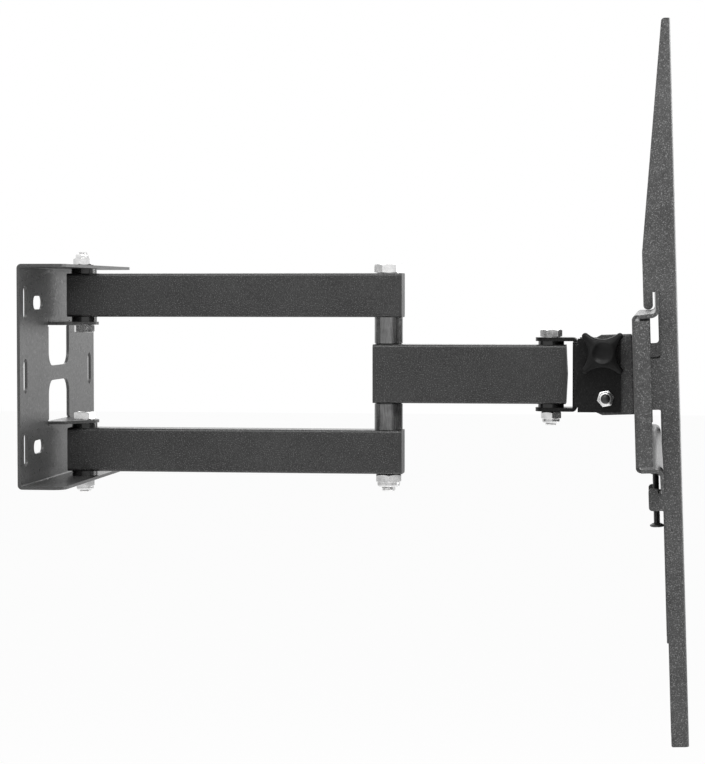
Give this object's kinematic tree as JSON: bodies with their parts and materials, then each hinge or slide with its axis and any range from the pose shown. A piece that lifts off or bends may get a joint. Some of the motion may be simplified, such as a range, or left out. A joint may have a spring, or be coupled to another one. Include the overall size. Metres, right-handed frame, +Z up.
{
  "type": "full motion tv wall mount",
  "caption": "Folding arm wall mount for a television: slotted wall plate, parallel rear arms, forearm, swivel and tilt head with a star knob, and a carrier with hook-on upright screen arms.",
  "frame": {"origin": "centre of the wall plate's back face, on the wall", "axes": "+X out from the wall towards the screen, +Y along the wall, +Z up"},
  "size_m": [0.4346, 0.47, 0.4235],
  "materials": {
    "powder_coat": "fine textured powder coat",
    "zinc": "bright zinc plate",
    "black_plastic": "matte moulded",
    "bush_plastic": "glossy moulded",
    "dark_steel": "satin dark plated",
    "plain_steel": "drawn tube",
    "black_screw": "black plated"
  },
  "bodies": {
    "wall_bracket": {"wall_plate": "powder_coat", "wall_pivot_bolts": "zinc", "wall_pivot_nuts": "zinc"},
    "rear_arms": {"upper_rear_arm": "powder_coat", "lower_rear_arm": "powder_coat", "rear_arm_end_caps": "black_plastic", "wall_pivot_bushes": "bush_plastic", "wall_pivot_sleeves": "plain_steel", "elbow_spacers": "dark_steel", "elbow_bolt": "zinc", "elbow_nut": "zinc"},
    "forearm_unit": {"forearm": "powder_coat", "forearm_elbow_cap": "black_plastic", "forearm_head_cap": "black_plastic", "elbow_bushes": "bush_plastic", "elbow_sleeve": "plain_steel", "head_bushes": "bush_plastic", "head_sleeve": "plain_steel"},
    "swivel_head": {"swivel_bracket": "powder_coat", "head_bolt": "zinc", "head_nut": "zinc", "tilt_pivot_bolt": "zinc", "tilt_pivot_nut": "zinc", "knob_bolt": "zinc", "tilt_washers": "bush_plastic"},
    "tilt_frame": {"tilt_bracket": "powder_coat", "carrier": "powder_coat", "carrier_bolts": "zinc", "carrier_nuts": "zinc"},
    "knob": {"tilt_knob": "black_plastic", "knob_insert": "plain_steel"},
    "near_arm": {"near_screen_arm": "powder_coat"},
    "far_arm": {"far_screen_arm": "powder_coat"},
    "near_lock": {"near_lock_screw": "black_screw"},
    "far_lock": {"far_lock_screw": "black_screw"}
  },
  "joints": [
    {"name": "rear_arm_swing", "type": "hinge", "parent": "wall_bracket", "child": "rear_arms", "pos_m": [0.0202, 0, 0], "axis": [0, 0, 1], "range_deg": [-90, 90]},
    {"name": "elbow_fold", "type": "hinge", "parent": "rear_arms", "child": "forearm_unit", "pos_m": [0.2334, 0, 0], "axis": [0, 0, -1], "range_deg": [-105, 105]},
    {"name": "head_swivel", "type": "hinge", "parent": "forearm_unit", "child": "swivel_head", "pos_m": [0.3443, 0, 0], "axis": [0, 0, 1], "range_deg": [-90, 90]},
    {"name": "head_tilt", "type": "hinge", "parent": "swivel_head", "child": "tilt_frame", "pos_m": [0.3816, 0, -0.0153], "axis": [0, 1, 0], "range_deg": [-3.2, 13.8]},
    {"name": "knob_turn", "type": "hinge", "parent": "swivel_head", "child": "knob", "pos_m": [0.3795, -0.03, 0.015], "axis": [0, 1, 0], "continuous": true},
    {"name": "near_arm_slide", "type": "slide", "parent": "tilt_frame", "child": "near_arm", "axis": [0, 1, 0], "range_m": [-0.012, 0.1]},
    {"name": "far_arm_slide", "type": "slide", "parent": "tilt_frame", "child": "far_arm", "axis": [0, -1, 0], "range_m": [-0.012, 0.1]},
    {"name": "near_lock_travel", "type": "slide", "parent": "near_arm", "child": "near_lock", "axis": [0.0314, 0, -0.9995], "range_m": [0, 0.008]},
    {"name": "far_lock_travel", "type": "slide", "parent": "far_arm", "child": "far_lock", "axis": [0.0314, 0, -0.9995], "range_m": [0, 0.008]}
  ]
}
